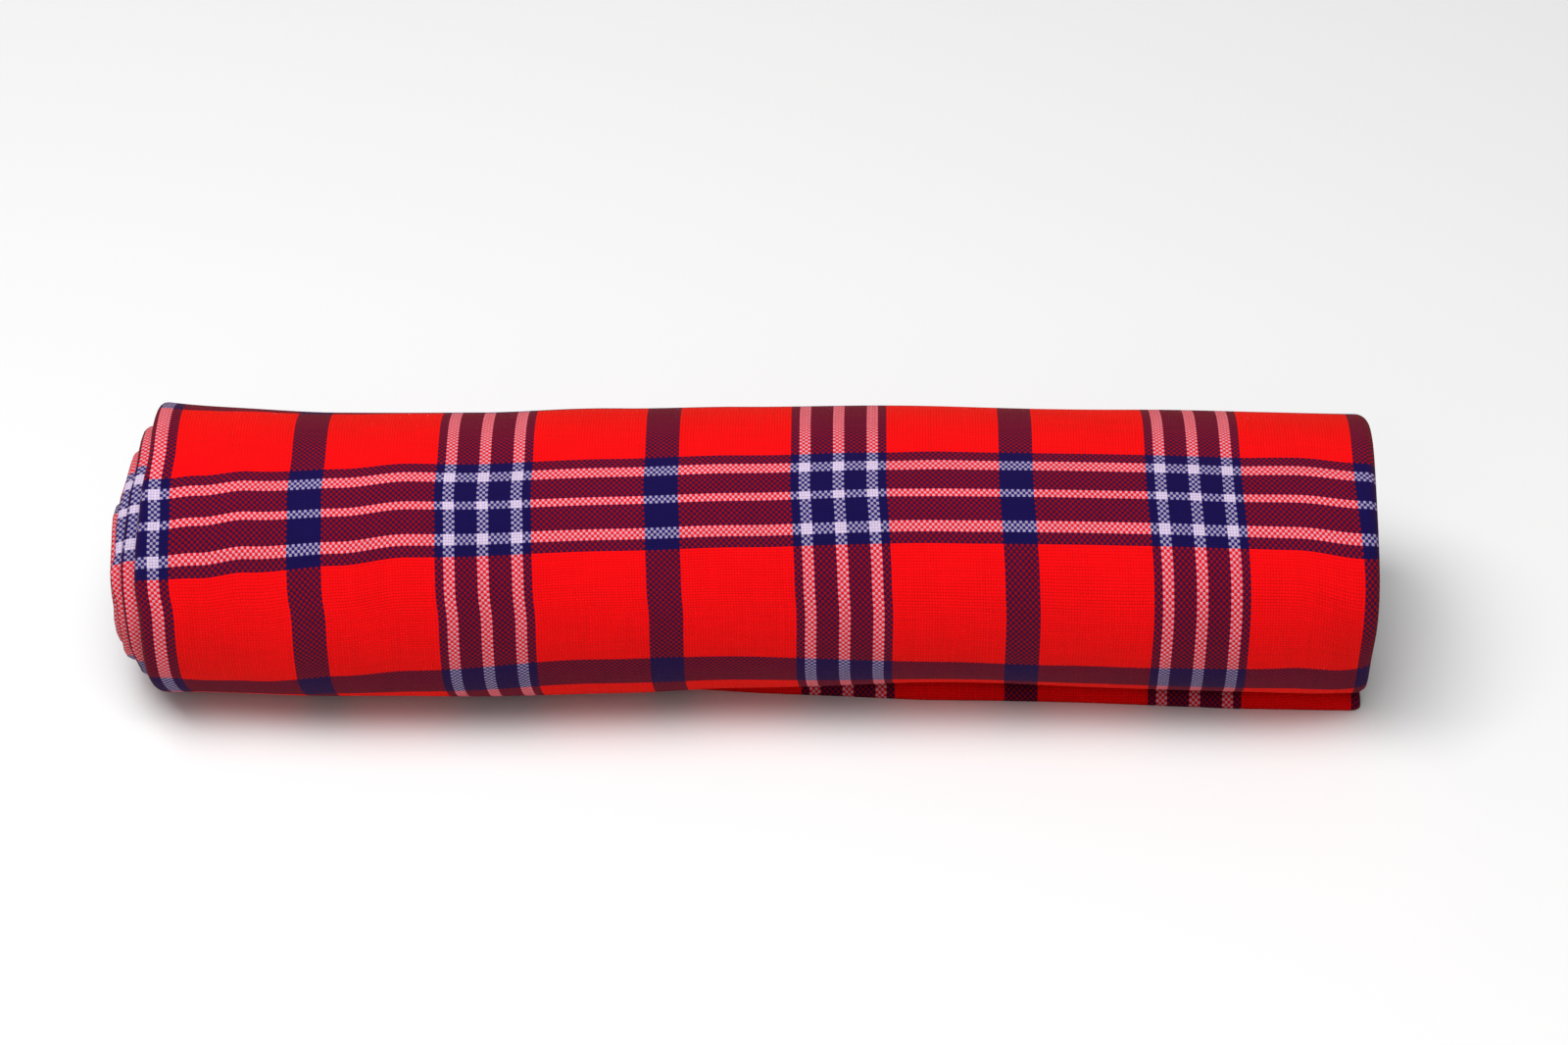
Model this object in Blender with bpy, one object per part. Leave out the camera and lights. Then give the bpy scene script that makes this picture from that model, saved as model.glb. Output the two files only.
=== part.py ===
# Shuka blanket, folded twice along its length and wound into a round roll.
#
# One cloth of 2.0 x 1.5 m is folded to a strip of four plies, half a metre wide, and the strip is
# wound up. The roll is one solid: the strip as a closed profile, grown station by station along its
# winding. The turns have slid a little past each other, so they stand out one by one at the left end.
# The roll has sagged where it lies, and the free end of the strip is tucked under it.
#
# Metres. +X runs along the roll, to the right; -Y is the front; +Z is up. The origin is on the surface
# that the roll lies on, below its middle.

import math

import bmesh
import bpy

# The folded strip
STRIP_WIDTH = 0.495
STRIP_THICKNESS = 0.0076
EDGE_ROUNDING = 0.0040
LENGTH_CUTS = 6
EDGE_CUTS = 3

# The winding
ROLL_RADIUS = 0.0633
PITCH = 0.0082
TURNS = 6.5
STEPS_A_TURN = 30
BOTTOM = math.radians(270.0)
SLIDE_OF_CORE = 0.016

# The sag of the roll on its surface, as shares of a turn's radius
WIDENING = 1.02
SAG_STARTS = 0.75
SAG_ENDS = 0.97
FLAT_SHARE = math.acos(SAG_ENDS) / math.tau

# How far the inner turns have sunk, as shares of the depth below the outer face
SINK = 0.08
SINK_AT_LEFT = 0.20
FORWARD_AT_LEFT = 0.10
LEFT_SINK_FROM = -0.130
LEFT_SINK_TO = -0.250

# The free end, which comes out further at the right
TAIL_REACH_LEFT = 0.0210
TAIL_REACH_RIGHT = 0.0328
TAIL_STEPS = 4

# How far the turns stand out at the left, and how far they lie back at the right
SLIDES = (
    # turns in from the free end, out at the left, back at the right
    (0.00, 0.000, 0.000),
    (0.90, 0.000, 0.000),
    (1.15, 0.006, 0.001),
    (1.95, 0.008, 0.002),
    (2.20, 0.013, 0.003),
    (3.00, 0.015, 0.004),
    (4.50, SLIDE_OF_CORE, 0.004),
    (7.00, SLIDE_OF_CORE, 0.004),
)

# How the roll wanders along its length
WANDERINGS = (
    # place along the roll, shift to the back, growth of the girth
    (-0.260, 0.0000, 0.010),
    (-0.225, 0.0000, 0.004),
    (-0.165, -0.0034, 0.000),
    (-0.110, -0.0036, 0.000),
    (-0.050, -0.0012, 0.004),
    (0.000, 0.0016, 0.000),
    (0.060, 0.0020, 0.006),
    (0.160, 0.0004, 0.002),
    (0.260, -0.0006, 0.000),
)

CLOTH_RED = (0.62, 0.02, 0.03, 1.0)


def eased(share):
    share = min(1.0, max(0.0, share))
    return share * share * (3.0 - 2.0 * share)


def read_off(table, column, place):
    """The value of a table's column at a place, eased between its rows."""
    for here, following in zip(table, table[1:]):
        if place <= following[0]:
            share = eased((place - here[0]) / (following[0] - here[0]))
            return here[column] + share * (following[column] - here[column])
    return table[-1][column]


def sagged(height):
    """A height on the unit circle, drawn in to a flat at the bottom."""
    below = -SAG_STARTS - height
    if below <= 0.0:
        return height
    span = SAG_ENDS - SAG_STARTS
    if below >= span:
        return -SAG_STARTS - span / 2.0
    return -SAG_STARTS - below + below * below / (2.0 * span)


def turns_grown(angle):
    """Turns at an angle, with no growth in radius across the flat at the bottom."""
    turns = (angle - BOTTOM) / math.tau
    whole = math.floor(turns + 0.5)
    part = turns - whole
    if abs(part) <= FLAT_SHARE:
        return float(whole)
    grown = (abs(part) - FLAT_SHARE) / (1.0 - 2.0 * FLAT_SHARE)
    return whole + math.copysign(grown, part)


def place_in_roll(x, depth, angle, reach):
    """The point at a depth below the strip's outer face; reach is 0 to 1 along the free end."""
    radius = ROLL_RADIUS + PITCH * turns_grown(angle) - depth
    inside = ROLL_RADIUS - radius
    at_left = eased((x - LEFT_SINK_FROM) / (LEFT_SINK_TO - LEFT_SINK_FROM))
    sink = SINK + at_left * (SINK_AT_LEFT - SINK)
    tail = TAIL_REACH_LEFT + (TAIL_REACH_RIGHT - TAIL_REACH_LEFT) * (x / STRIP_WIDTH + 0.5)
    y = -WIDENING * radius * math.cos(angle) - at_left * FORWARD_AT_LEFT * inside - reach * tail
    z = radius * sagged(math.sin(angle)) - sink * inside - ROLL_RADIUS * sagged(-1.0)
    y -= WIDENING * PITCH / 4.0
    girth = 1.0 + read_off(WANDERINGS, 2, x)
    return x, y * girth + read_off(WANDERINGS, 1, x), z * girth


def strip_profile():
    """The closed outline of the strip, as places across it and depths, round at both edges."""
    half = STRIP_WIDTH / 2.0
    middle = STRIP_THICKNESS / 2.0
    flat = half - EDGE_ROUNDING
    across = [flat * (2.0 * cut / LENGTH_CUTS - 1.0) for cut in range(LENGTH_CUTS + 1)]
    bends = [math.pi * cut / (EDGE_CUTS + 1) for cut in range(1, EDGE_CUTS + 1)]
    outer = [(x, 0.0) for x in across]
    right = [(flat + EDGE_ROUNDING * math.sin(b), middle - middle * math.cos(b)) for b in bends]
    inner = [(x, STRIP_THICKNESS) for x in reversed(across)]
    left = [(-flat - EDGE_ROUNDING * math.sin(b), middle + middle * math.cos(b)) for b in bends]
    return outer + right + inner + left


def winding_stations():
    """The angle and the reach of each station, from the core out to the free end."""
    first = BOTTOM - TURNS * math.tau
    steps = round(TURNS * STEPS_A_TURN)
    wound = [(first + step * math.tau / STEPS_A_TURN, 0.0) for step in range(steps + 1)]
    tail = [(BOTTOM, step / TAIL_STEPS) for step in range(1, TAIL_STEPS + 1)]
    return wound + tail


def station_points(profile, angle, reach):
    turns_in = (BOTTOM - angle) / math.tau
    out_at_left = read_off(SLIDES, 1, turns_in)
    back_at_right = read_off(SLIDES, 2, turns_in)
    shift = (SLIDE_OF_CORE - out_at_left - back_at_right) / 2.0
    stretch = 1.0 + (out_at_left - back_at_right) / STRIP_WIDTH
    return [place_in_roll(x * stretch + shift, depth, angle, reach) for x, depth in profile]


def grow_strip(bm, profile, stations):
    """A face of the strip's outline, extruded from station to station."""
    corner = bm.verts.layers.int.new("corner")
    verts = [bm.verts.new(point) for point in station_points(profile, *stations[0])]
    for index, vert in enumerate(verts):
        vert[corner] = index
    core_end = bm.faces.new(verts)
    end = core_end
    for angle, reach in stations[1:]:
        points = station_points(profile, angle, reach)
        grown = bmesh.ops.extrude_face_region(bm, geom=[end])
        if end is not core_end:
            bmesh.ops.delete(bm, geom=[end], context="FACES_ONLY")
        end = next(item for item in grown["geom"] if isinstance(item, bmesh.types.BMFace))
        for vert in end.verts:
            vert.co = points[vert[corner]]


def cloth_material():
    material = bpy.data.materials.new("woven_cloth")
    material.use_nodes = True
    shader = material.node_tree.nodes["Principled BSDF"]
    shader.inputs["Base Color"].default_value = CLOTH_RED
    shader.inputs["Roughness"].default_value = 0.9
    shader.inputs["Metallic"].default_value = 0.0
    return material


def make_roll():
    bm = bmesh.new()
    grow_strip(bm, strip_profile(), winding_stations())
    caps = [face for face in bm.faces if len(face.verts) > 4]
    bmesh.ops.triangulate(bm, faces=caps)
    bmesh.ops.recalc_face_normals(bm, faces=bm.faces)
    mesh = bpy.data.meshes.new("blanket_roll")
    bm.to_mesh(mesh)
    bm.free()
    mesh.shade_smooth()
    mesh.set_sharp_from_angle(angle=math.radians(50.0))
    mesh.materials.append(cloth_material())
    roll = bpy.data.objects.new("blanket_roll", mesh)
    bpy.context.scene.collection.objects.link(roll)
    return roll


for old in list(bpy.data.objects):
    bpy.data.objects.remove(old)
make_roll()
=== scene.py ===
# %% [markdown]
# A shuka blanket, rolled up. The real thing is one woven cloth, 2.0 m by 1.5 m. Its owner folds it in
# half twice along its length, which gives a strip of four plies half a metre wide, and winds the strip up.
# The frame holds that roll as one plain solid. Here the cloth itself is made, as one sheet that really is
# folded and really is wound, so that every edge that shows at the ends is an edge of the cloth.

# %% Load the frame
import math

import bmesh
import bpy
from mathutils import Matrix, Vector, noise


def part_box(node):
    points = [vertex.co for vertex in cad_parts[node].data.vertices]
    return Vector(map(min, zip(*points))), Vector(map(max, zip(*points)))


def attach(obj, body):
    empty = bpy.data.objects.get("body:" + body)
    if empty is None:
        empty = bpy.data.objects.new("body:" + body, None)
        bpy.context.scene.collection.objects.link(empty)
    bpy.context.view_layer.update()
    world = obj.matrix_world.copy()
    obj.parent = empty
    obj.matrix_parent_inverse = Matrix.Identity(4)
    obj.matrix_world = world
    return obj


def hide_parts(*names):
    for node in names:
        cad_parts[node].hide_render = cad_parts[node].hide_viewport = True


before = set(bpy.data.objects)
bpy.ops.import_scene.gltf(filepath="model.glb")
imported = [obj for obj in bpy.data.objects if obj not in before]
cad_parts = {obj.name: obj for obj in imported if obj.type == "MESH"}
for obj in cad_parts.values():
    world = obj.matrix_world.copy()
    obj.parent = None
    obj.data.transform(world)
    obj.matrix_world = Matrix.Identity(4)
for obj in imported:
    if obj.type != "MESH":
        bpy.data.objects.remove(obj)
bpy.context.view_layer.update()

# %% [markdown]
# The camera comes first. The photograph looks down at the roll from about forty degrees, from so far away
# that the bands round the roll hardly bow. A long lens at two metres gives that flat, quiet perspective.
# The camera could be turned by Euler angles, but a track quaternion aims it at a point in one line.

# %% The camera
ELEVATION = math.radians(40.0)
AZIMUTH = math.radians(0.55)
CAMERA_DISTANCE = 2.0
VIEW_WIDTH = 0.645
SENSOR_WIDTH = 36.0
AIM = Vector((0.0177, 0.0092, 0.0624))

backwards = Vector((
    math.sin(AZIMUTH) * math.cos(ELEVATION),
    -math.cos(AZIMUTH) * math.cos(ELEVATION),
    math.sin(ELEVATION),
))
lens = bpy.data.cameras.new("camera")
lens.sensor_width = SENSOR_WIDTH
lens.lens = SENSOR_WIDTH * CAMERA_DISTANCE / VIEW_WIDTH
camera = bpy.data.objects.new("camera", lens)
camera.location = AIM + CAMERA_DISTANCE * backwards
camera.rotation_euler = backwards.to_track_quat("Z", "Y").to_euler()
bpy.context.scene.collection.objects.link(camera)
bpy.context.scene.camera = camera
print("camera lens, in mm:", round(lens.lens, 1))

# %% [markdown]
# Now the sizes of the folded strip and of its winding. The radius, the step from turn to turn and the sag
# on the surface are those of the solid, so the cloth lies where the solid lies. How far the turns stand
# out at the left and how far the free end comes out are read off the photograph in finer steps than the
# solid has. Each ply is thinner than its share of the strip, and the rest is air, so that no ply cuts into
# the next where the roll is pressed flat.

# %% Sizes of the strip and the winding
CLOTH_WIDTH = 2.0
CLOTH_LENGTH = 1.5
PLIES = 4

STRIP_WIDTH = 0.495
STRIP_THICKNESS = 0.0076
PLY_SPACE = STRIP_THICKNESS / PLIES
PLY_THICKNESS = 0.0011

ROLL_RADIUS = 0.0633
PITCH = 0.0082
TURNS = 6.5
BOTTOM = math.radians(270.0)
SLIDE_OF_CORE = 0.016

WIDENING = 1.02
SAG_STARTS = 0.75
SAG_ENDS = 0.97
FLAT_SHARE = math.acos(SAG_ENDS) / math.tau
SPIRAL_CENTRING = WIDENING * PITCH / 4.0

SINK = 0.08
SINK_AT_LEFT = 0.20
FORWARD_AT_LEFT = 0.10
LEFT_SINK_FROM = -0.130
LEFT_SINK_TO = -0.250

TAIL_REACHES = (
    # place along the roll, how far the free end comes out in front of the roll's lowest line
    (-0.250, 0.0210),
    (-0.030, 0.0225),
    (0.012, 0.0272),
    (0.034, 0.0285),
    (0.056, 0.0300),
    (0.080, 0.0311),
    (0.130, 0.0305),
    (0.215, 0.0332),
    (0.250, 0.0334),
)
SLIDES = (
    # turns in from the free end, out at the left, back at the right
    (0.00, 0.0000, 0.000),
    (0.34, 0.0000, 0.000),
    (0.42, -0.0020, 0.000),
    (0.51, -0.0024, 0.000),
    (0.58, 0.0004, 0.000),
    (0.64, 0.0018, 0.000),
    (0.67, 0.0018, 0.000),
    (0.71, 0.0000, 0.000),
    (0.79, 0.0000, 0.000),
    (0.89, -0.0024, 0.000),
    (1.15, 0.0050, 0.001),
    (1.50, 0.0036, 0.001),
    (1.57, 0.0058, 0.001),
    (1.66, 0.0078, 0.002),
    (1.76, 0.0074, 0.002),
    (1.83, 0.0050, 0.002),
    (1.90, 0.0040, 0.002),
    (2.20, 0.0100, 0.003),
    (2.48, 0.0096, 0.003),
    (2.58, 0.0110, 0.003),
    (2.62, 0.0110, 0.003),
    (2.66, 0.0136, 0.004),
    (2.70, 0.0112, 0.004),
    (2.78, 0.0102, 0.004),
    (2.84, 0.0110, 0.004),
    (2.90, 0.0112, 0.004),
    (3.10, 0.0120, 0.004),
    (4.50, SLIDE_OF_CORE, 0.004),
    (7.00, SLIDE_OF_CORE, 0.004),
)
WANDERINGS = (
    # place along the roll, shift to the back, growth of the girth
    (-0.260, 0.0000, 0.010),
    (-0.225, 0.0000, 0.004),
    (-0.165, -0.0034, 0.000),
    (-0.110, -0.0036, 0.000),
    (-0.050, -0.0012, 0.004),
    (0.000, 0.0016, 0.000),
    (0.060, 0.0020, 0.006),
    (0.160, 0.0004, 0.002),
    (0.260, -0.0006, 0.000),
)


def eased(share):
    share = min(1.0, max(0.0, share))
    return share * share * (3.0 - 2.0 * share)


def read_off(table, column, place):
    """The value of a table's column at a place, eased between its rows."""
    for here, following in zip(table, table[1:]):
        if place <= following[0]:
            share = eased((place - here[0]) / (following[0] - here[0]))
            return here[column] + share * (following[column] - here[column])
    return table[-1][column]


print("a ply has", round(PLY_SPACE * 1000, 2), "mm of room and is", PLY_THICKNESS * 1000, "mm thick")

# %% [markdown]
# Cloth is never quite even. This roll has soft creases that run round it a little askew, a hollow above its
# free end, a lower right corner that is pressed in and a lip at the top left. Each one is a trough or a
# ridge with soft sides. They are few, so a table of them says more than noise would, and noise only makes
# the faint swell between them. What stands out fades away near the surface below, and all of it fades
# towards the core, where the cloth is wound tight.

# %% Soft creases and dents
CREASES = (
    # place along the roll, degrees round it, shift along the roll in a quarter turn,
    # degrees to either end, half width, depth
    (-0.243, 112.0, 0.000, 70.0, 0.0190, -0.0018),
    (-0.226, 90.0, 0.004, 40.0, 0.0050, 0.0005),
    (-0.196, 20.0, -0.020, 50.0, 0.0120, 0.0007),
    (-0.105, 96.0, 0.030, 46.0, 0.0140, 0.0008),
    (-0.030, 8.0, 0.026, 52.0, 0.0150, 0.0008),
    (0.060, 84.0, -0.040, 44.0, 0.0130, 0.0007),
    (0.135, 2.0, -0.030, 48.0, 0.0160, 0.0009),
    (0.196, 70.0, 0.024, 40.0, 0.0110, 0.0006),
    (0.262, -20.0, -0.045, 54.0, 0.0250, 0.0070),
    (0.095, -46.0, 0.000, 40.0, 0.0800, 0.0036),
    (0.210, -46.0, 0.000, 36.0, 0.0500, 0.0010),
    (-0.120, 190.0, 0.040, 60.0, 0.0160, 0.0010),
    (0.090, 200.0, -0.030, 60.0, 0.0180, 0.0010),
)
QUARTER_TURN = 90.0

SWELL = 0.0006
SWELLS_ALONG = 14.0
SWELLS_ROUND = 1.1
RAISED_ABOVE = -0.45
CORE_RADIUS = 0.038


def from_crease(angle, crease_degrees):
    """Degrees from a crease's middle, round the shorter way."""
    return (math.degrees(angle) - crease_degrees + 180.0) % 360.0 - 180.0


def unevenness(x, angle):
    """How far the cloth stands above or lies below the even roll."""
    along = x * SWELLS_ALONG
    around = (SWELLS_ROUND * math.cos(angle), SWELLS_ROUND * math.sin(angle))
    offset = SWELL * noise.noise(Vector((along, *around)))
    for place, degrees, shift, reach, width, depth in CREASES:
        away = from_crease(angle, degrees)
        if abs(away) < reach:
            across = (x - place - shift * away / QUARTER_TURN) / width
            offset -= depth * math.exp(-across * across) * eased(1.0 - abs(away) / reach)
    if offset < 0.0:
        return offset
    return offset * eased((math.sin(angle) + SAG_STARTS) / (RAISED_ABOVE + SAG_STARTS))


print(len(CREASES), "creases and dents, the deepest", max(crease[5] for crease in CREASES) * 1000, "mm")

# %% [markdown]
# A place in the roll is given by how far along it is, how deep it lies below the strip's outer face, and
# at which angle of the winding. One function turns that into a point. The angle counts on from turn to
# turn: 0 is the front, a quarter turn on is the top. The section is round above and drawn in to a flat
# below, where a soft roll sags on what it lies on.

# %% From a place in the winding to a point
def sagged(height):
    """A height on the unit circle, drawn in to a flat at the bottom."""
    below = -SAG_STARTS - height
    if below <= 0.0:
        return height
    span = SAG_ENDS - SAG_STARTS
    if below >= span:
        return -SAG_STARTS - span / 2.0
    return -SAG_STARTS - below + below * below / (2.0 * span)


def turns_grown(angle):
    """Turns at an angle, with no growth in radius across the flat at the bottom."""
    turns = (angle - BOTTOM) / math.tau
    whole = math.floor(turns + 0.5)
    part = turns - whole
    if abs(part) <= FLAT_SHARE:
        return float(whole)
    grown = (abs(part) - FLAT_SHARE) / (1.0 - 2.0 * FLAT_SHARE)
    return whole + math.copysign(grown, part)


def place_in_roll(x, depth, angle):
    """The point at a depth below the strip's outer face."""
    radius = ROLL_RADIUS + PITCH * turns_grown(angle) - depth
    radius += unevenness(x, angle) * min(1.0, radius / CORE_RADIUS)
    inside = ROLL_RADIUS - radius
    at_left = eased((x - LEFT_SINK_FROM) / (LEFT_SINK_TO - LEFT_SINK_FROM))
    sink = SINK + at_left * (SINK_AT_LEFT - SINK)
    y = -WIDENING * radius * math.cos(angle) - at_left * FORWARD_AT_LEFT * inside
    y -= SPIRAL_CENTRING
    z = radius * sagged(math.sin(angle)) - sink * inside - ROLL_RADIUS * sagged(-1.0)
    girth = 1.0 + read_off(WANDERINGS, 2, x)
    return Vector((x, y * girth + read_off(WANDERINGS, 1, x), z * girth))


roll_top = place_in_roll(0.0, 0.0, math.radians(90.0)).z
solid_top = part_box("blanket_roll")[1][2]
print("top of the roll at its middle:", round(roll_top, 4), "and of the solid:", round(solid_top, 4))

# %% [markdown]
# Across the cloth runs its fold. Walking over the flat cloth from one long edge to the other, one starts at
# a hem at the left and crosses the fourth ply, comes round the wide fold at the right onto the outermost
# ply, turns back through the soft crease at the left into the second, and through the inner fold at the
# right into the third, whose hem is at the left again. A grid with even columns would waste its faces on
# plies that nobody sees, so the outermost ply gets many cuts, the others few, and the folds get their own.
# The hidden plies still need enough of them to follow the creases of the outermost, or they would cut it.

# %% The fold, as columns across the cloth
HIDDEN_CUTS = 20
HIDDEN_CROWDING = 0.4
SHOWN_CUTS = 110
SHOWN_CROWDING = 0.5
FOLD_CUTS = 6
WIDE_FOLD_CUTS = 10
DROOP_CUTS = 3
ROUNDING_AT_RIGHT = 0.0042
ROUNDING_AT_LEFT = 0.0030
DROOP_AT_LEFT = 0.0017
DROOP_LENGTH = 0.0080
HEM_BACK_THIRD_PLY = 0.0100
HEM_BACK_FOURTH_PLY = 0.0045


def straight(start, end, depth, cuts, crowding):
    """Places along a ply, closer together near its two ends where crowding is above 0."""
    places = []
    for cut in range(cuts + 1):
        share = cut / cuts
        share -= crowding * math.sin(math.tau * share) / math.tau
        places.append((start + (end - start) * share, depth))
    return places


def turned_back(x, depth_from, depth_to, outwards, cuts):
    """Places round a fold, from one ply's depth to another's; outwards is how far it stands out."""
    middle = (depth_from + depth_to) / 2.0
    half = (depth_from - depth_to) / 2.0
    angles = [math.pi * cut / cuts for cut in range(1, cuts)]
    return [(x + outwards * math.sin(a), middle + half * math.cos(a)) for a in angles]


def drawn_level(x, depth_from, depth_to, length, cuts):
    """Places where a ply comes back to its own depth after a puffy fold."""
    shares = [cut / cuts for cut in range(cuts)]
    return [(x + length * s, depth_from + (depth_to - depth_from) * eased(s)) for s in shares]


def fold_columns():
    """The places across the strip in the order of the flat cloth, with the cloth's own width measure."""
    edge = STRIP_WIDTH / 2.0
    right = edge - ROUNDING_AT_RIGHT
    left = -edge + ROUNDING_AT_LEFT
    tight = PLY_SPACE / 2.0
    outer, second, third, fourth = [PLY_SPACE * (ply + 0.5) for ply in range(PLIES)]
    drooped = second + DROOP_AT_LEFT
    wide_fold = turned_back(right, fourth, outer, ROUNDING_AT_RIGHT, WIDE_FOLD_CUTS)
    runs = [
        straight(-edge + HEM_BACK_FOURTH_PLY, right, fourth, HIDDEN_CUTS, HIDDEN_CROWDING),
        wide_fold,
        straight(right, left, outer, SHOWN_CUTS, SHOWN_CROWDING),
        turned_back(left, outer, drooped, -ROUNDING_AT_LEFT, FOLD_CUTS),
        drawn_level(left, drooped, second, DROOP_LENGTH, DROOP_CUTS),
        straight(left + DROOP_LENGTH, right - tight, second, HIDDEN_CUTS, HIDDEN_CROWDING),
        turned_back(right - tight, second, third, tight, FOLD_CUTS),
        straight(right - tight, -edge + HEM_BACK_THIRD_PLY, third, HIDDEN_CUTS, HIDDEN_CROWDING),
    ]
    places = [place for run in runs for place in run]
    along = [0.0]
    for here, following in zip(places, places[1:]):
        along.append(along[-1] + math.dist(here, following))
    # The cloth's width is measured from the crease of the wide fold, at a quarter of its width
    crease = along[places.index(wide_fold[WIDE_FOLD_CUTS // 2 - 1])]
    return [(x, depth, CLOTH_WIDTH / PLIES + length - crease) for (x, depth), length in zip(places, along)]


columns = fold_columns()
print(len(columns), "columns over", round(columns[-1][2] - columns[0][2], 3), "m of width")

# %% [markdown]
# Along the cloth runs its winding, as rows. The outermost turn is seen whole and gets the finest steps,
# the next two show only their ends, and the core hardly shows at all. The rows of the free end come after
# them. The length along the cloth is measured on its outer face, where its pattern is seen.

# %% The winding, as rows along the cloth
ROW_STEPS = (
    # turns, degrees a step, from the core outwards
    (3.4, 17.0),
    (1.9, 9.0),
    (1.2, 5.0),
)
FREE_END_STEPS = 4
CURL_STEPS = 6


def winding_rows():
    """The angle of each row, and how far along the free end it is: up to 1 flat, up to 2 curling down."""
    angle = BOTTOM - TURNS * math.tau
    rows = [(angle, 0.0)]
    for turns, degrees in ROW_STEPS:
        steps = round(turns * 360.0 / degrees)
        for step in range(steps):
            angle += turns * math.tau / steps
            rows.append((angle, 0.0))
    rows += [(BOTTOM, step / FREE_END_STEPS) for step in range(1, FREE_END_STEPS + 1)]
    rows += [(BOTTOM, 1.0 + step / CURL_STEPS) for step in range(1, CURL_STEPS + 1)]
    return rows


def lengths_along(rows):
    """The length along the cloth at each row, counted back from the start of the free end."""
    points = [place_in_roll(0.0, 0.0, angle) for angle, reach in rows]
    along = [0.0]
    for here, following in zip(points, points[1:]):
        along.append(along[-1] + (following - here).length)
    return [length - along[-1] for length in along]


rows = winding_rows()
row_lengths = lengths_along(rows)
print(len(rows), "rows over", round(-row_lengths[0] + read_off(TAIL_REACHES, 1, 0.0), 3), "m of length")

# %% [markdown]
# The free end runs out flat on the surface, and then all its plies curl down together. The top ply goes
# the furthest round and covers the ends of the others, as it does on any stack of cloth that bends.
# Plies cut off square would be simpler, but would show four raw edges where the real roll shows none.

# %% The free end
LOWEST_PLY = PLY_SPACE / 2.0
CURL_RUN_ON = 0.0010
CURL_DEEPER = 1.04


def laid_out(point, x, depth, reach):
    """A point at the start of the free end, moved out along it, and how much cloth lies between."""
    point = point.copy()
    height = (depth - LOWEST_PLY) * -sagged(-1.0)
    curl_length = (PLIES - 1) * PLY_SPACE + PLY_THICKNESS / 2.0 + CURL_RUN_ON
    flat_run = read_off(TAIL_REACHES, 1, x) - curl_length
    curl = max(0.0, reach - 1.0)
    forward = min(1.0, reach) * flat_run
    forward += height * math.sin(curl * math.pi / 2.0) + CURL_RUN_ON * curl
    point.y -= forward
    point.z -= CURL_DEEPER * height * (1.0 - math.cos(curl * math.pi / 2.0))
    return point, min(1.0, reach) * flat_run + curl * (height * math.pi / 2.0 + CURL_RUN_ON)


print("the free end comes out", TAIL_REACHES[0][1], "m at the left and", TAIL_REACHES[-1][1], "m at right")

# %% [markdown]
# Now the sheet. A grid from bmesh has its points on an even square, and each point's place on that square
# says which column and row it is. So the grid is made once and its points are moved onto the fold and the
# winding. Building the faces by hand would do the same with more code and more to get wrong. The roll was
# not wound quite square, so the bands drift along it: that is a drift of the measure, read from a table.
# A second table holds how far the cloth has crept from turn to turn.

# %% The sheet
BAND_DRIFT = (
    # place along the roll, how far the cloth has run ahead on top, the same low on the front,
    # how far it has strayed to the right
    (-0.260, 0.0152, 0.0160, -0.0035),
    (-0.235, 0.0120, 0.0138, -0.0026),
    (-0.216, 0.0099, 0.0160, -0.0010),
    (-0.196, 0.0066, 0.0146, 0.0000),
    (-0.160, 0.0040, 0.0080, 0.0000),
    (-0.132, 0.0008, 0.0042, 0.0000),
    (-0.062, 0.0001, -0.0012, 0.0000),
    (0.000, -0.0003, -0.0008, 0.0000),
    (0.084, -0.0024, 0.0026, 0.0000),
    (0.145, -0.0031, 0.0042, 0.0000),
    (0.222, -0.0022, 0.0038, 0.0000),
    (0.250, 0.0002, 0.0112, 0.0000),
)
LOW_ON_FRONT = (0.60, 0.77)
WINDING_SHIFTS = (
    # turns in from the free end, how far the cloth has run ahead, how far it has strayed to the right
    (0.00, 0.0105, -0.0020),
    (0.36, 0.0038, -0.0030),
    (0.43, 0.0038, -0.0034),
    (0.50, 0.0000, -0.0034),
    (0.68, 0.0000, 0.0000),
    (0.95, 0.0000, 0.0000),
    (1.40, 0.0067, -0.0038),
    (1.95, 0.0067, -0.0038),
    (2.40, -0.0280, -0.0044),
    (7.00, -0.0280, -0.0044),
)
EDGE_WANDER = 0.0005
EDGE_WAVES = (
    # waves in a turn, how far they are ahead at the right and behind at the left, share of the wander
    (1.7, 0.31, 1.0),
    (4.3, -0.17, 0.6),
)


def edge_wander(turns_in, side):
    """How far the edge of the strip strays from turn to turn; side is -1 at the left and 1 at the right."""
    wander = 0.0
    for waves, ahead, share in EDGE_WAVES:
        wander += share * math.sin(math.tau * (waves * turns_in + ahead * side))
    return EDGE_WANDER * wander


def strip_place(column, row):
    """The point of the sheet at a column and a row, and its measures across and along the cloth."""
    x, depth, across = column
    angle, reach, length = row
    turns_in = (BOTTOM - angle) / math.tau
    out_at_left = read_off(SLIDES, 1, turns_in) + edge_wander(turns_in, -1)
    back_at_right = read_off(SLIDES, 2, turns_in) + edge_wander(turns_in, 1)
    shift = (SLIDE_OF_CORE - out_at_left - back_at_right) / 2.0
    stretch = 1.0 + (out_at_left - back_at_right) / STRIP_WIDTH
    x = x * stretch + shift
    point, run_out = laid_out(place_in_roll(x, depth, angle), x, depth, reach)
    low = eased((turns_in - LOW_ON_FRONT[0]) / (LOW_ON_FRONT[1] - LOW_ON_FRONT[0]))
    on_top, on_front, aside = [read_off(BAND_DRIFT, kind, x) for kind in (1, 2, 3)]
    ahead = on_top + low * (on_front - on_top) + read_off(WINDING_SHIFTS, 1, turns_in)
    aside += read_off(WINDING_SHIFTS, 2, turns_in)
    return point, (across + aside, CLOTH_LENGTH + length + run_out + ahead)


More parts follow.
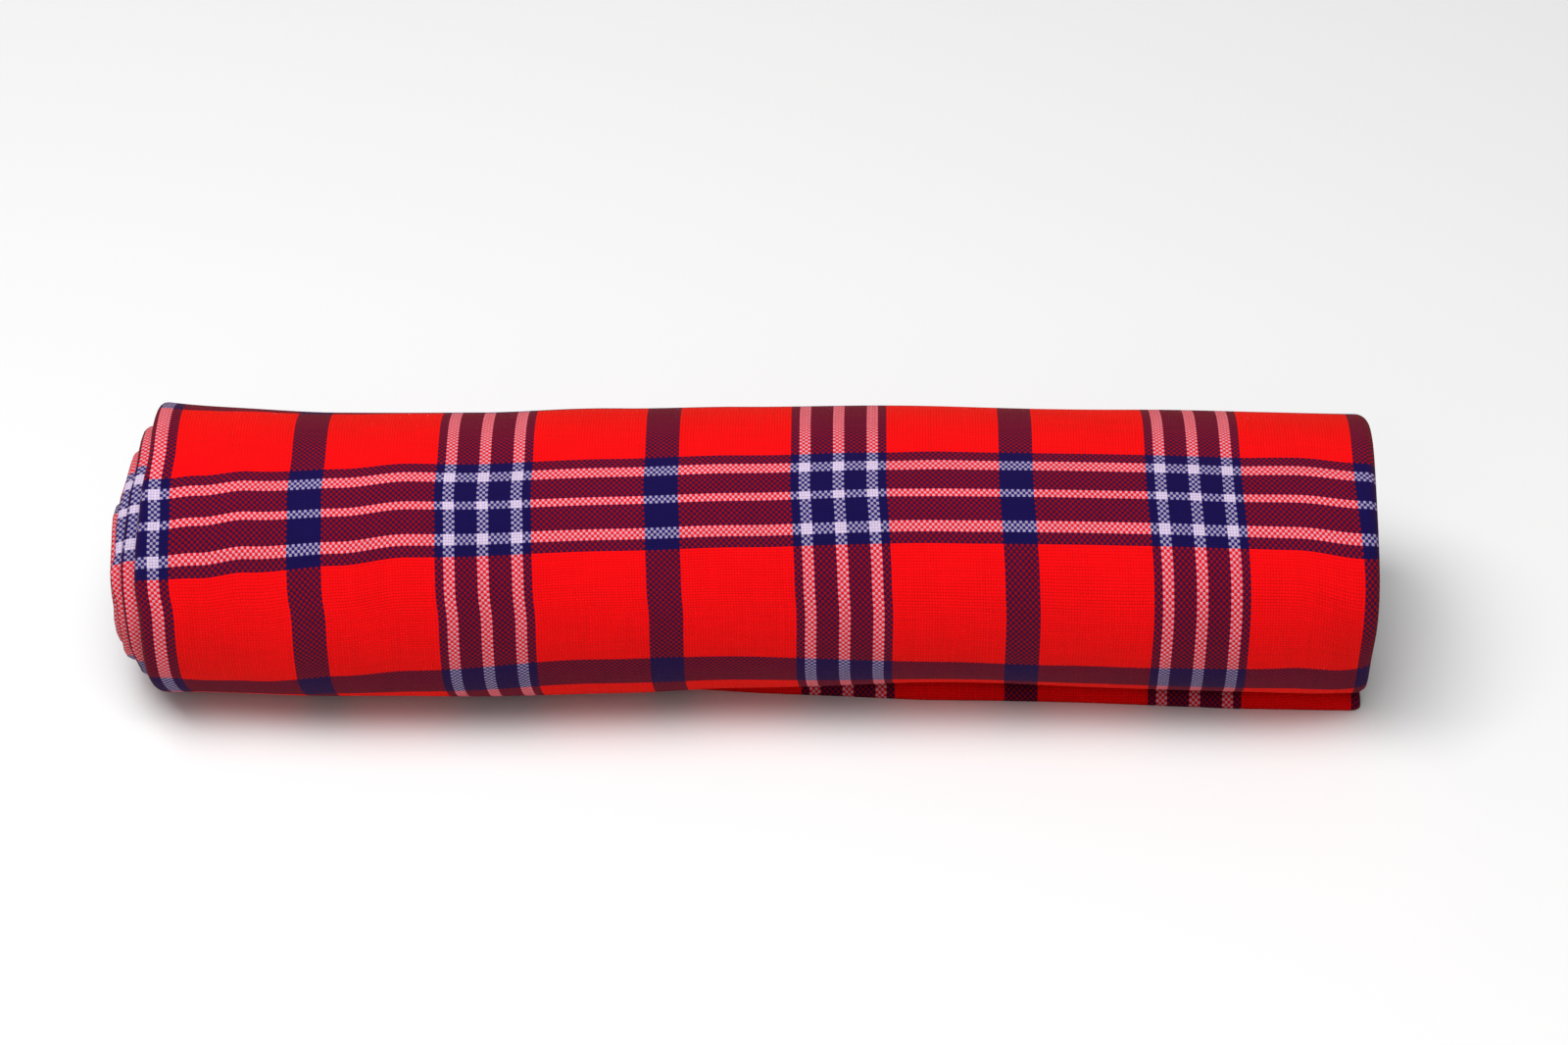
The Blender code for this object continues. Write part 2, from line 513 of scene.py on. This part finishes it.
def make_sheet(name):
    bm = bmesh.new()
    bmesh.ops.create_grid(bm, x_segments=len(columns) - 1, y_segments=len(rows) - 1, size=1.0)
    measure = bm.loops.layers.uv.new("cloth")
    measures = {}
    for vert in bm.verts:
        column = round((vert.co.x + 1.0) / 2.0 * (len(columns) - 1))
        row = round((vert.co.y + 1.0) / 2.0 * (len(rows) - 1))
        angle, reach = rows[row]
        vert.co, measures[vert.index] = strip_place(columns[column], (angle, reach, row_lengths[row]))
    for face in bm.faces:
        face.smooth = True
        for loop in face.loops:
            loop[measure].uv = measures[loop.vert.index]
    mesh = bpy.data.meshes.new(name)
    bm.to_mesh(mesh)
    bm.free()
    sheet = bpy.data.objects.new(name, mesh)
    bpy.context.scene.collection.objects.link(sheet)
    return sheet


blanket = make_sheet("blanket")
wall = blanket.modifiers.new("ply", "SOLIDIFY")
wall.thickness = PLY_THICKNESS
wall.offset = 0.0
print(len(blanket.data.polygons), "faces in the sheet, before it gets its thickness")

# %% [markdown]
# Next come the cloth's colours and its weave. They are worked out from many small sums, and in the shader
# editor each sum is a node that is placed and joined by hand. In a script a small class that adds a node
# and joins its inputs keeps each sum on one line, so the weave reads like arithmetic.

# %% Helpers for material nodes
class NodeSet:
    """A material's nodes, with short ways to add them."""

    def __init__(self, material):
        material.use_nodes = True
        self.tree = material.node_tree
        self.shader = self.tree.nodes["Principled BSDF"]

    def link(self, source, target):
        """Joins an output to an input, or gives the input a plain number."""
        if isinstance(source, (int, float)):
            target.default_value = source
        else:
            self.tree.links.new(source, target)

    def sum(self, operation, first, second=None, third=None):
        """A sum of any kind that a Math node knows."""
        node = self.tree.nodes.new("ShaderNodeMath")
        node.operation = operation
        for socket, value in zip(node.inputs, (first, second, third)):
            if value is not None:
                self.link(value, socket)
        return node.outputs[0]

    def mix(self, factor, first, second, blend="MIX"):
        """Two colours mixed. A Mix node's inputs share their names, so they are picked by number."""
        node = self.tree.nodes.new("ShaderNodeMix")
        node.data_type = "RGBA"
        node.blend_type = blend
        self.link(factor, node.inputs["Factor"])
        for socket, value in ((node.inputs[6], first), (node.inputs[7], second)):
            if isinstance(value, tuple):
                socket.default_value = value
            else:
                self.link(value, socket)
        return node.outputs[2]

    def blend(self, factor, first, second):
        """Two numbers mixed."""
        node = self.tree.nodes.new("ShaderNodeMix")
        node.data_type = "FLOAT"
        self.link(factor, node.inputs["Factor"])
        self.link(first, node.inputs[2])
        self.link(second, node.inputs[3])
        return node.outputs[0]

    def noise(self, place, scale, detail):
        node = self.tree.nodes.new("ShaderNodeTexNoise")
        node.inputs["Scale"].default_value = scale
        node.inputs["Detail"].default_value = detail
        self.link(place, node.inputs["Vector"])
        return node.outputs["Fac"]

    def point(self, x, y, z=0.0):
        node = self.tree.nodes.new("ShaderNodeCombineXYZ")
        for socket, value in zip(node.inputs, (x, y, z)):
            self.link(value, socket)
        return node.outputs[0]


print("short ways to add nodes:", [name for name in vars(NodeSet) if not name.startswith("_")])

# %% [markdown]
# A shuka's plaid comes from the order of its dyed yarns alone, both along the cloth and across it. That
# order is a chart, as a weaver would keep it. A painted image could hold the plaid too, but it would blur
# close up. A colour ramp with hard steps holds the chart and stays sharp at any distance.

# %% The yarns and their order
YARN_PITCH = 0.001134
RED = (0.85, 0.006, 0.014, 1.0)
NAVY = (0.020, 0.012, 0.150, 1.0)
WHITE = (0.65, 0.57, 0.70, 1.0)

BANDS_ACROSS = (
    # yarn, how many; these yarns run round the roll
    (NAVY, 3), (WHITE, 4), (NAVY, 8), (WHITE, 4), (NAVY, 8), (WHITE, 4), (NAVY, 3),
    (RED, 40), (NAVY, 12), (RED, 40),
)
BANDS_ALONG = (
    # yarn, how many; these yarns run along the roll
    (NAVY, 4), (WHITE, 4), (NAVY, 8), (WHITE, 4), (NAVY, 8), (WHITE, 4), (NAVY, 4),
    (RED, 44), (NAVY, 17), (RED, 44),
)
TRIPLE_BAND = 7
SINGLE_BAND = 8
BAND_AT_RIGHT_FOLD = CLOTH_WIDTH / PLIES
BAND_ANGLE = math.radians(62.8)


def yarns_in(chart):
    return sum(count for colour, count in chart)


def middle_of(chart, first, last):
    """The yarn in the middle of some bands of a chart."""
    return (yarns_in(chart[:first]) + yarns_in(chart[:last])) / 2.0


def yarn_colour(nodes, number, chart):
    """The colour of a yarn, from its number and the chart of its direction."""
    total = yarns_in(chart)
    ramp = nodes.tree.nodes.new("ShaderNodeValToRGB")
    ramp.color_ramp.interpolation = "CONSTANT"
    elements = ramp.color_ramp.elements
    elements.remove(elements[1])
    counted = 0
    for index, (colour, count) in enumerate(chart):
        element = elements[0] if index == 0 else elements.new(counted / total)
        element.color = colour
        counted += count
    middle_of_yarn = nodes.sum("ADD", number, 0.5)
    place = nodes.sum("FRACT", nodes.sum("DIVIDE", middle_of_yarn, float(total)))
    nodes.link(place, ramp.inputs["Fac"])
    return ramp.outputs["Color"]


print("the plaid repeats every", round(yarns_in(BANDS_ACROSS) * YARN_PITCH, 4), "m across and every",
      round(yarns_in(BANDS_ALONG) * YARN_PITCH, 4), "m along")

# %% [markdown]
# The cloth is a plain weave: each yarn goes over one and under the next, so the surface is a fine checker
# of the yarns that run along it and the yarns that run across it. Some of each yarn's colour comes from the
# yarn beneath it, less where the upper one is white, since the white yarns are fuller. Real yarns could be
# modelled one by one, but there are thousands of them, so their round shapes and their fibres are worked
# out from the cloth's own measure, as colour and as bump. The hollows between the yarns get painted shade:
# the colour is darkened where the yarns dip.

# %% The weave
WEAVE_WANDER = 0.0008
WANDER_SCALE = 16.0
SHOWS_THROUGH = 0.76
WHITE_COVERS = 0.30
YARN_DIP = 0.5


def length_at_angle(angle):
    """The length along the cloth where the outermost turn passes an angle."""
    nearest = min(range(len(rows)), key=lambda index: abs(rows[index][0] - angle))
    return CLOTH_LENGTH + row_lengths[nearest] + (angle - rows[nearest][0]) * ROLL_RADIUS


def counted_yarns(nodes, place):
    """The number of the yarn at a place on the cloth, and the place within it, in both directions."""
    split = nodes.tree.nodes.new("ShaderNodeSeparateXYZ")
    nodes.link(place, split.inputs[0])
    waves = nodes.noise(place, WANDER_SCALE, 1.0)
    wander = nodes.sum("MULTIPLY_ADD", waves, WEAVE_WANDER, -WEAVE_WANDER / 2.0)
    directions = (
        (split.outputs[0], BAND_AT_RIGHT_FOLD, middle_of(BANDS_ACROSS, SINGLE_BAND, SINGLE_BAND + 1)),
        (split.outputs[1], length_at_angle(BAND_ANGLE), middle_of(BANDS_ALONG, 0, TRIPLE_BAND)),
    )
    counted = []
    for length, anchor, yarn_there in directions:
        strayed = nodes.sum("ADD", nodes.sum("SUBTRACT", length, anchor), wander)
        yarns = nodes.sum("ADD", nodes.sum("DIVIDE", strayed, YARN_PITCH), yarn_there)
        counted += [nodes.sum("FLOOR", yarns), nodes.sum("FRACT", yarns)]
    return counted


def woven_colour(nodes, over, column, row):
    """The colour of the yarn on top, with some of the colour of the yarn beneath it."""
    column_colour = yarn_colour(nodes, column, BANDS_ACROSS)
    row_colour = yarn_colour(nodes, row, BANDS_ALONG)
    above = nodes.mix(over, row_colour, column_colour)
    below = nodes.mix(over, column_colour, row_colour)
    parts = nodes.tree.nodes.new("ShaderNodeSeparateColor")
    nodes.link(above, parts.inputs[0])
    # Of the three colours only white has any green to speak of
    covered = nodes.sum("MULTIPLY_ADD", parts.outputs["Green"], -WHITE_COVERS, SHOWS_THROUGH)
    return nodes.mix(covered, above, below, "MULTIPLY")


def yarn_height(nodes, over, in_column, in_row):
    """The height of the yarn on top: round across it, and dipping where it goes under the next."""
    round_column = nodes.sum("SINE", nodes.sum("MULTIPLY", in_column, math.pi))
    round_row = nodes.sum("SINE", nodes.sum("MULTIPLY", in_row, math.pi))
    round_yarn = nodes.blend(over, round_row, round_column)
    length_yarn = nodes.blend(over, round_column, round_row)
    crown = nodes.sum("MULTIPLY_ADD", length_yarn, YARN_DIP, 1.0 - YARN_DIP)
    return nodes.sum("MULTIPLY", nodes.sum("SQRT", round_yarn), crown)


print("a yarn shows through the one above it by", SHOWS_THROUGH, "and through white by",
      round(SHOWS_THROUGH - WHITE_COVERS * WHITE[1], 2))

# %% [markdown]
# Up close no two yarns of a shuka are quite alike. Each is a little lighter or darker along its length, the
# fibres stand out of it, the whole cloth is faintly clouded, and it puckers where the yarns pull. One noise
# at one size would look like dust, so each of these has its own noise, at the size of the real thing.

# %% The cloth's finish
TONE_SPREAD = 0.36
TONE_FROM_YARN_TO_YARN = 0.71
TONE_ALONG_A_YARN = 0.045
FIBRE_SCALE = 2600.0
FIBRE_SPREAD = 0.30
FIBRE_HEIGHT = 0.3
CLOUD_SCALE = 22.0
CLOUD_SPREAD = 0.16
# Painted shade in the weave's hollows: how strongly it follows the yarns' height, and the height where the
# colour stays as it is
PAINTED_HOLLOW_SHADE_SPREAD = 0.45
PAINTED_HOLLOW_SHADE_BELOW = 0.75
PUCKER_SCALE = 90.0
PUCKER_HEIGHT = 1.4
BUMP_STRENGTH = 0.6
BUMP_DISTANCE = 0.0004
FINISH = (
    ("Roughness", 0.95),
    ("Specular IOR Level", 0.06),
    ("Sheen Weight", 0.08),
    ("Sheen Roughness", 0.5),
    ("Sheen Tint", (1.0, 0.25, 0.02, 1.0)),
)


def about_one(nodes, value, spread, level=0.5):
    """A value from 0 to 1 brought to a spread about 1; it becomes 1 at the level."""
    return nodes.sum("MULTIPLY_ADD", value, spread, 1.0 - level * spread)


def yarn_tone(nodes, number, other):
    """A slight light and dark along and between the yarns of one direction, about 1."""
    between = nodes.sum("MULTIPLY", number, TONE_FROM_YARN_TO_YARN)
    along = nodes.sum("MULTIPLY", other, TONE_ALONG_A_YARN)
    return about_one(nodes, nodes.noise(nodes.point(between, along), 1.0, 1.0), TONE_SPREAD)


def grey(nodes, value):
    """A number as a grey."""
    combined = nodes.tree.nodes.new("ShaderNodeCombineColor")
    for socket in combined.inputs[:3]:
        nodes.link(value, socket)
    return combined.outputs[0]


def shaded(nodes, colour, tone, height, place):
    """A colour with its yarn's tone, its fibres, the cloth's clouds and painted shade in the weave's
    hollows.
    """
    fibres = about_one(nodes, nodes.noise(place, FIBRE_SCALE, 2.0), FIBRE_SPREAD)
    clouds = about_one(nodes, nodes.noise(place, CLOUD_SCALE, 2.0), CLOUD_SPREAD)
    # Painted shade: the colour is darkened in the hollows between the yarns, where the yarns dip
    painted_hollow_shade = about_one(nodes, height, PAINTED_HOLLOW_SHADE_SPREAD, PAINTED_HOLLOW_SHADE_BELOW)
    fine = nodes.sum("MULTIPLY", tone, fibres)
    shade = nodes.sum("MULTIPLY", fine, nodes.sum("MULTIPLY", clouds, painted_hollow_shade))
    return nodes.mix(1.0, colour, grey(nodes, shade), "MULTIPLY")


def bumped(nodes, height, place):
    """The cloth's normal, from the yarns' height, the puckers and the fibres."""
    puckers = nodes.sum("MULTIPLY", nodes.noise(place, PUCKER_SCALE, 2.0), PUCKER_HEIGHT)
    fuzz = nodes.sum("MULTIPLY", nodes.noise(place, FIBRE_SCALE, 2.0), FIBRE_HEIGHT)
    bump = nodes.tree.nodes.new("ShaderNodeBump")
    bump.inputs["Strength"].default_value = BUMP_STRENGTH
    bump.inputs["Distance"].default_value = BUMP_DISTANCE
    nodes.link(nodes.sum("ADD", height, nodes.sum("ADD", puckers, fuzz)), bump.inputs["Height"])
    return bump.outputs[0]


def woven_cloth():
    material = bpy.data.materials.new("woven_shuka")
    nodes = NodeSet(material)
    measure = nodes.tree.nodes.new("ShaderNodeUVMap")
    measure.uv_map = "cloth"
    place = measure.outputs[0]
    column, in_column, row, in_row = counted_yarns(nodes, place)
    # Half the sum of the two numbers is whole or a half more, so its fraction is 0 or a half
    pair = nodes.sum("FRACT", nodes.sum("MULTIPLY", nodes.sum("ADD", column, row), 0.5))
    over = nodes.sum("GREATER_THAN", pair, 0.25)
    height = yarn_height(nodes, over, in_column, in_row)
    tone = nodes.blend(over, yarn_tone(nodes, row, column), yarn_tone(nodes, column, row))
    colour = shaded(nodes, woven_colour(nodes, over, column, row), tone, height, place)
    nodes.link(colour, nodes.shader.inputs["Base Color"])
    nodes.link(bumped(nodes, height, place), nodes.shader.inputs["Normal"])
    for name, value in FINISH:
        nodes.shader.inputs[name].default_value = value
    return material


blanket.data.materials.append(woven_cloth())
print("the cloth's material has", len(blanket.data.materials[0].node_tree.nodes), "nodes")

# %% [markdown]
# The stage: a plain pale floor, one broad light high above the roll and a little in front of it, which
# gives the bright top and the dark underside of the photograph, and a weaker one further in front.

# %% Floor, lights and background
FLOOR_SIZE = 12.0
FLOOR_COLOUR = (0.72, 0.72, 0.72, 1.0)
FLOOR_ROUGHNESS = 0.7
LIGHTS_AIM = Vector((0.0, 0.0, 0.05))
LIGHTS = (
    # name, place, size, watts
    ("key_light", (-0.5, -0.65, 2.55), (2.4, 1.4), 98.0),
    ("fill_light", (-0.3, -2.0, 1.7), (1.6, 1.0), 8.0),
)
SURROUNDINGS_COLOUR = (1.0, 1.0, 1.0, 1.0)
SURROUNDINGS_STRENGTH = 0.22


def make_floor():
    bm = bmesh.new()
    bmesh.ops.create_grid(bm, x_segments=1, y_segments=1, size=FLOOR_SIZE / 2.0)
    mesh = bpy.data.meshes.new("floor")
    bm.to_mesh(mesh)
    bm.free()
    floor = bpy.data.objects.new("floor", mesh)
    bpy.context.scene.collection.objects.link(floor)
    material = bpy.data.materials.new("pale_floor")
    shader = NodeSet(material).shader
    shader.inputs["Base Color"].default_value = FLOOR_COLOUR
    shader.inputs["Roughness"].default_value = FLOOR_ROUGHNESS
    mesh.materials.append(material)
    return floor


def area_light(name, place, size, power):
    light = bpy.data.lights.new(name, "AREA")
    light.shape = "RECTANGLE"
    light.size, light.size_y = size
    light.energy = power
    lamp = bpy.data.objects.new(name, light)
    lamp.location = place
    lamp.rotation_euler = (Vector(place) - LIGHTS_AIM).to_track_quat("Z", "Y").to_euler()
    bpy.context.scene.collection.objects.link(lamp)


def make_surroundings():
    world = bpy.data.worlds.new("surroundings")
    world.use_nodes = True
    background = world.node_tree.nodes["Background"]
    background.inputs["Color"].default_value = SURROUNDINGS_COLOUR
    background.inputs["Strength"].default_value = SURROUNDINGS_STRENGTH
    bpy.context.scene.world = world


floor = make_floor()
for name, place, size, power in LIGHTS:
    area_light(name, place, size, power)
make_surroundings()
bpy.context.scene.view_settings.view_transform = "Standard"
print("the stage has", len(LIGHTS), "lights, of", [light[3] for light in LIGHTS], "watts")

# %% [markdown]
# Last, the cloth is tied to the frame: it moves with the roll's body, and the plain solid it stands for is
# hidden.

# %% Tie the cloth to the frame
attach(blanket, "root")
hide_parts("blanket_roll")
